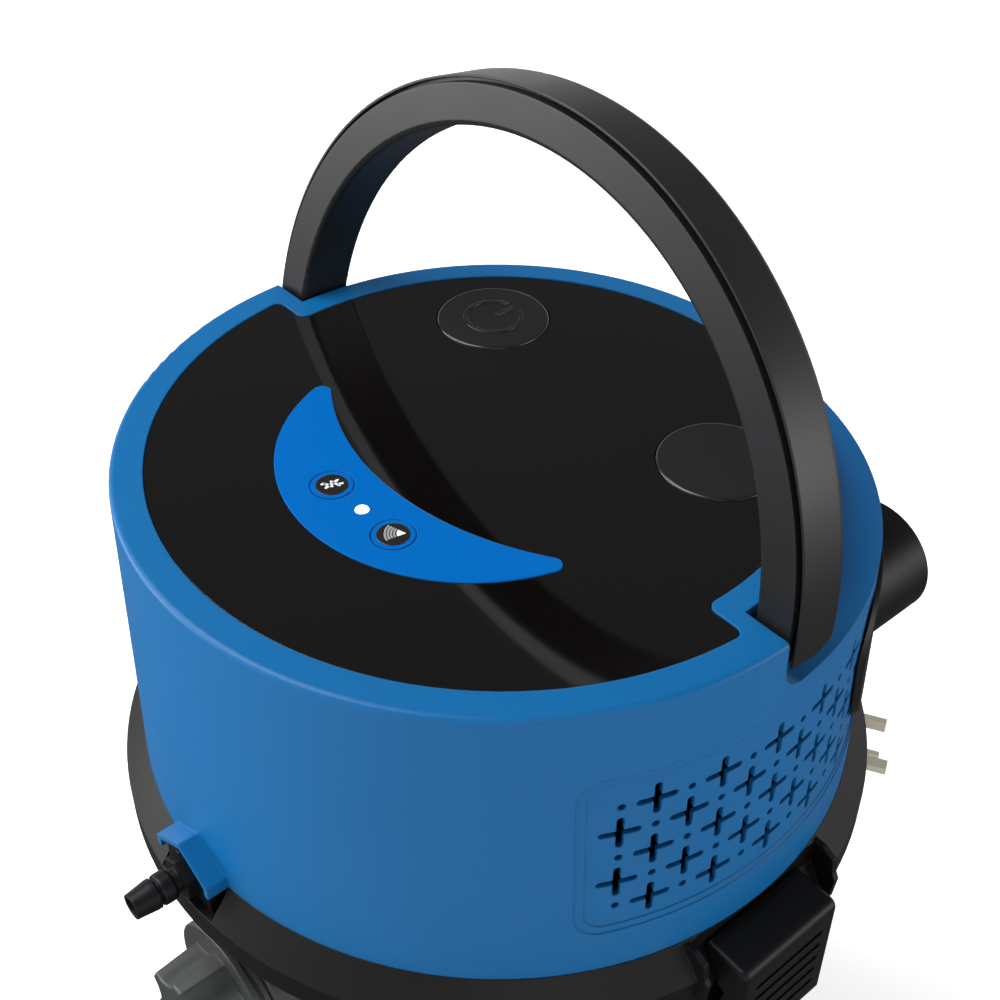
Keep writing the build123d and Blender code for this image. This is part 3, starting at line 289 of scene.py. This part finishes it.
cord_data = bpy.data.curves.new("mains_cord", "CURVE")
cord_data.dimensions = "3D"
cord_data.bevel_depth = cord_width / 2
cord_data.bevel_resolution = 4
cord_data.resolution_u = 4
cord_spline = cord_data.splines.new("NURBS")
cord_spline.points.add(len(route) - 1)
for spot, place in zip(cord_spline.points, route):
    spot.co = (*place, 1)
cord_spline.order_u = 3
cord_spline.use_endpoint_u = True
cord_data.materials.append(sheath)
mains_cord = bpy.data.objects.new("mains_cord", cord_data)
scene.collection.objects.link(mains_cord)
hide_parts("cord_lead", "cord_coil", "cord_tail")
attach(mains_cord, "head")


# ---------------------------------------------------------------- small pieces
def mesh_object(name, form, made_of):
    """An object from a bmesh with one material, shaded smooth."""
    mesh = bpy.data.meshes.new(name)
    form.to_mesh(mesh)
    form.free()
    mesh.materials.append(made_of)
    made = bpy.data.objects.new(name, mesh)
    scene.collection.objects.link(made)
    for face in mesh.polygons:
        face.use_smooth = True
    return made


def lathe(name, profile, centre, made_of, segments=64):
    """A closed body of revolution about +Z through centre, from (radius, height) pairs."""
    form = bmesh.new()
    rings = []
    for radius, height in profile:
        ring = []
        for k in range(segments):
            angle = 2 * pi * k / segments
            ring.append(form.verts.new(
                (centre[0] + radius * cos(angle), centre[1] + radius * sin(angle), height)))
        rings.append(ring)
    for low, high in zip(rings, rings[1:]):
        for k in range(segments):
            form.faces.new((low[k], low[(k + 1) % segments], high[(k + 1) % segments], high[k]))
    form.faces.new(rings[0][::-1])
    form.faces.new(rings[-1])
    bmesh.ops.recalc_face_normals(form, faces=form.faces)
    return mesh_object(name, form, made_of)


relief_low, relief_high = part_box("cord_relief")
relief_centre = ((relief_low[0] + relief_high[0]) / 2, (relief_low[1] + relief_high[1]) / 2)
relief_profile = []
ribs = 6
for k in range(ribs * 4 + 1):
    height = lerp(relief_low[2], relief_high[2], k / (ribs * 4))
    radius = lerp(0.0046, 0.0064, k / (ribs * 4))
    if k % 4 in (1, 2) and 0 < k < ribs * 4:
        radius -= 0.0009
    relief_profile.append((radius, height))
strain_relief = lathe("strain_relief", relief_profile, relief_centre, rubber)
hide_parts("cord_relief")
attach(strain_relief, "head")


# ---------------------------------------------------------------- printed marks on the keys
def plate(name, outlines, base, thick, made_of):
    """Flat raised plates: each outline is a list of (x, y) points, standing on height base."""
    form = bmesh.new()
    for outline in outlines:
        face = form.faces.new([form.verts.new((x, y, base)) for x, y in outline])
        grown = bmesh.ops.extrude_face_region(form, geom=[face])
        verts = [g for g in grown["geom"] if isinstance(g, bmesh.types.BMVert)]
        bmesh.ops.translate(form, verts=verts, vec=(0, 0, thick))
    bmesh.ops.recalc_face_normals(form, faces=form.faces)
    made = mesh_object(name, form, made_of)
    for face in made.data.polygons:
        face.use_smooth = False
    return made


def disc_outline(x, y, radius, segments=72):
    """A round outline."""
    return [
        (x + radius * cos(2 * pi * k / segments), y + radius * sin(2 * pi * k / segments))
        for k in range(segments)
    ]


def bar(x, y, length, width, turn, round_ends=6):
    """An outline of a bar with round ends, centred on x, y."""
    outline = []
    for end in (1, -1):
        for k in range(round_ends + 1):
            angle = -pi / 2 + pi * k / round_ends + (0 if end == 1 else pi)
            px = end * (length / 2 - width / 2) + width / 2 * cos(angle)
            py = width / 2 * sin(angle)
            outline.append((
                x + px * cos(turn) - py * sin(turn),
                y + px * sin(turn) + py * cos(turn),
            ))
    return outline


def fan(x, y, inner, outer, start, end, steps=14):
    """An outline of a ring sector about x, y."""
    outline = []
    for k in range(steps + 1):
        angle = lerp(start, end, k / steps)
        outline.append((x + outer * cos(angle), y + outer * sin(angle)))
    for k in range(steps + 1):
        angle = lerp(end, start, k / steps)
        outline.append((x + inner * cos(angle), y + inner * sin(angle)))
    return outline


key_pad_r = 0.0072
pad_sunk = 0.0002
pad_thick = 0.00035
mark_rise = 0.00012
mark_thick = 0.0001
stroke = 0.0013
key_top = {}
for name in ("mode_key_left", "mode_key_right"):
    low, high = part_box(name)
    key_top[name] = ((low[0] + high[0]) / 2, (low[1] + high[1]) / 2, high[2])
    x, y, top = key_top[name]
    pad = plate(
        name + "_pad", [disc_outline(x, y, key_pad_r)], top - pad_sunk, pad_thick, button_black)
    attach(pad, name)

x, y, top = key_top["mode_key_left"]
tool_mark = plate(
    "tool_mark",
    [
        bar(x - 0.0004, y + 0.0002, 0.0084, stroke, radians(100)),
        bar(x + 0.0003, y + 0.0016, 0.0058, stroke, radians(15)),
        bar(x - 0.0007, y - 0.0014, 0.0050, stroke, radians(22)),
        bar(x + 0.0019, y + 0.0032, 0.0030, stroke, radians(75)),
        bar(x - 0.0027, y - 0.0026, 0.0026, stroke, radians(70)),
    ],
    top + mark_rise, mark_thick, white_mark,
)
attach(tool_mark, "mode_key_left")

x, y, top = key_top["mode_key_right"]
tip_x = x + 0.0030
tip_y = y + 0.0044
beam_start = radians(195)
beam_end = radians(260)
beam_mark = plate(
    "beam_mark", [fan(tip_x, tip_y, 0.0002, 0.0040, beam_start, beam_end)],
    top + mark_rise, mark_thick, white_mark,
)
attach(beam_mark, "mode_key_right")
band_mark = plate(
    "band_mark",
    [
        fan(tip_x, tip_y, 0.0046 + stroke * k, 0.0055 + stroke * k, beam_start, beam_end)
        for k in range(4)
    ],
    top + mark_rise, mark_thick, grey_mark,
)
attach(band_mark, "mode_key_right")


# ---------------------------------------------------------------- stage
def area_light(name, place, target, width, height, power):
    """A soft rectangular light that looks at target."""
    data = bpy.data.lights.new(name, "AREA")
    data.shape = "RECTANGLE"
    data.size = width
    data.size_y = height
    data.energy = power
    made = bpy.data.objects.new(name, data)
    scene.collection.objects.link(made)
    made.location = place
    aim = Vector(target) - Vector(place)
    made.rotation_euler = aim.to_track_quat("-Z", "Y").to_euler()
    return made


floor_mesh = bpy.data.meshes.new("floor")
floor_form = bmesh.new()
bmesh.ops.create_grid(floor_form, x_segments=1, y_segments=1, size=14)
floor_form.to_mesh(floor_mesh)
floor_form.free()
floor = bpy.data.objects.new("floor", floor_mesh)
floor.location = (0, 0, size_at_load[0][2] - 0.0005)
scene.collection.objects.link(floor)
pale = material("floor", (0.93, 0.93, 0.93), 0.7, grain=0.05, spread=0.01)
glow(pale, (1, 1, 1, 1), 0.45)
floor_mesh.materials.append(pale)
floor.visible_glossy = False

world = bpy.data.worlds.new("studio")
world.use_nodes = True
# A bright band round the horizon, dark above and below, as between studio walls.
world_nodes = world.node_tree.nodes
world_links = world.node_tree.links
sky_place = world_nodes.new("ShaderNodeTexCoord")
sky_split = world_nodes.new("ShaderNodeSeparateXYZ")
sky_height = world_nodes.new("ShaderNodeMapRange")
sky_height.inputs["From Min"].default_value = -1.0
sky_height.inputs["From Max"].default_value = 1.0
sky_ramp = world_nodes.new("ShaderNodeValToRGB")
sky_ramp.color_ramp.interpolation = "EASE"
sky_ramp.color_ramp.elements[0].position = 0.26
sky_ramp.color_ramp.elements[0].color = (0.1, 0.1, 0.1, 1)
sky_ramp.color_ramp.elements[1].position = 0.44
sky_ramp.color_ramp.elements[1].color = (0.95, 0.95, 0.95, 1)
for position, grey in ((0.57, 0.95), (0.67, 0.14), (1.0, 0.14)):
    stop = sky_ramp.color_ramp.elements.new(position)
    stop.color = (grey, grey, grey, 1)
world_links.new(sky_place.outputs["Generated"], sky_split.inputs["Vector"])
world_links.new(sky_split.outputs["Z"], sky_height.inputs["Value"])
world_links.new(sky_height.outputs["Result"], sky_ramp.inputs["Fac"])
world_links.new(sky_ramp.outputs["Color"], world_nodes["Background"].inputs["Color"])
scene.world = world

for name, place, target, width, height, power in (
    ("key", (-0.9, -1.1, 2.5), (0, 0, 0.45), 2.0, 2.0, 84),
    ("left_box", (-1.7, -1.5, 0.75), (0, 0, 0.5), 1.5, 1.1, 32),
    ("fill", (1.9, -1.0, 1.2), (0, 0, 0.45), 1.4, 1.4, 6),
    ("back_box", (1.9, 1.2, 0.9), (0.1, 0.1, 0.45), 1.2, 1.0, 16),
):
    area_light(name, place, target, width, height, power)
# The floor behind is lit on its own, and this lamp doesn't mirror in the glossy panel.
wash = area_light("floor_wash", (-1.2, 2.2, 2.6), (-0.5, 1.6, 0), 2.0, 2.0, 30)
wash.visible_glossy = False
